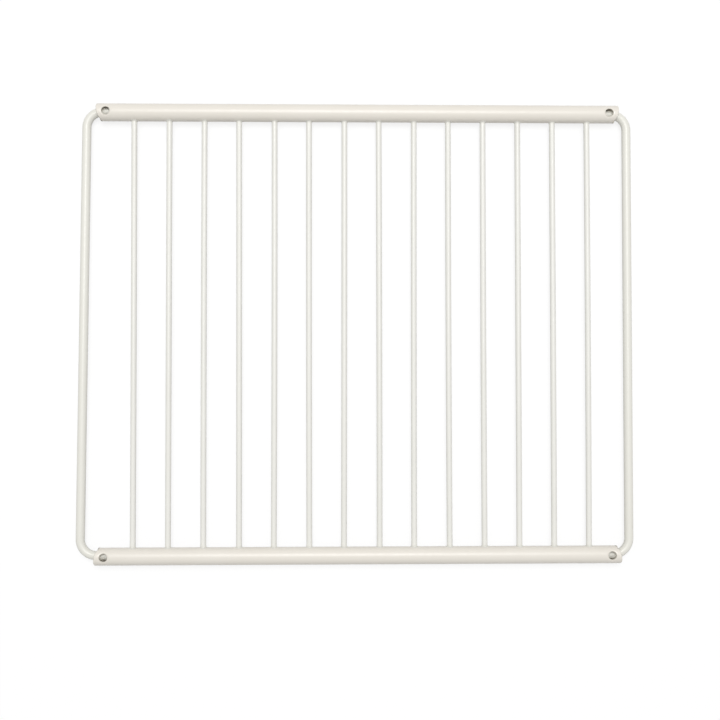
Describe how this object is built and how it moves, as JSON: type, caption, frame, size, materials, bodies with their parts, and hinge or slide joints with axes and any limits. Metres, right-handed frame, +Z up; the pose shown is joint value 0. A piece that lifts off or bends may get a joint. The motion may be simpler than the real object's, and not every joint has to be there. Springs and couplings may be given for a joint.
{
  "type": "extendable refrigerator shelf",
  "caption": "Wire refrigerator shelf: a grid of tubes and welded wires with a U-bent side frame sliding out at each end.",
  "frame": {"origin": "middle of the shelf's footprint, on the surface that the two tubes lie on", "axes": "+X along the tubes to the right, the way the right side frame slides out; +Y to the rear, along the wires; +Z up, out of the side that has the holes"},
  "size_m": [0.3868, 0.32, 0.0122],
  "materials": {
    "coated_tube": "satin powder coat, warm white",
    "coated_wire": "satin powder coat, warm white",
    "coated_rod": "satin powder coat, warm white"
  },
  "bodies": {
    "grid": {"rear_tube": "coated_tube", "front_tube": "coated_tube", "wire_01": "coated_wire", "wire_02": "coated_wire", "wire_03": "coated_wire", "wire_04": "coated_wire", "wire_05": "coated_wire", "wire_06": "coated_wire", "wire_07": "coated_wire", "wire_08": "coated_wire", "wire_09": "coated_wire", "wire_10": "coated_wire", "wire_11": "coated_wire", "wire_12": "coated_wire", "wire_13": "coated_wire", "wire_14": "coated_wire"},
    "left_frame": {"left_side_frame": "coated_rod"},
    "right_frame": {"right_side_frame": "coated_rod"}
  },
  "joints": [
    {"name": "left_slide", "type": "slide", "parent": "grid", "child": "left_frame", "axis": [-1, 0, 0], "range_m": [-0.0024, 0.1176]},
    {"name": "right_slide", "type": "slide", "parent": "grid", "child": "right_frame", "axis": [1, 0, 0], "range_m": [0, 0.12]}
  ]
}
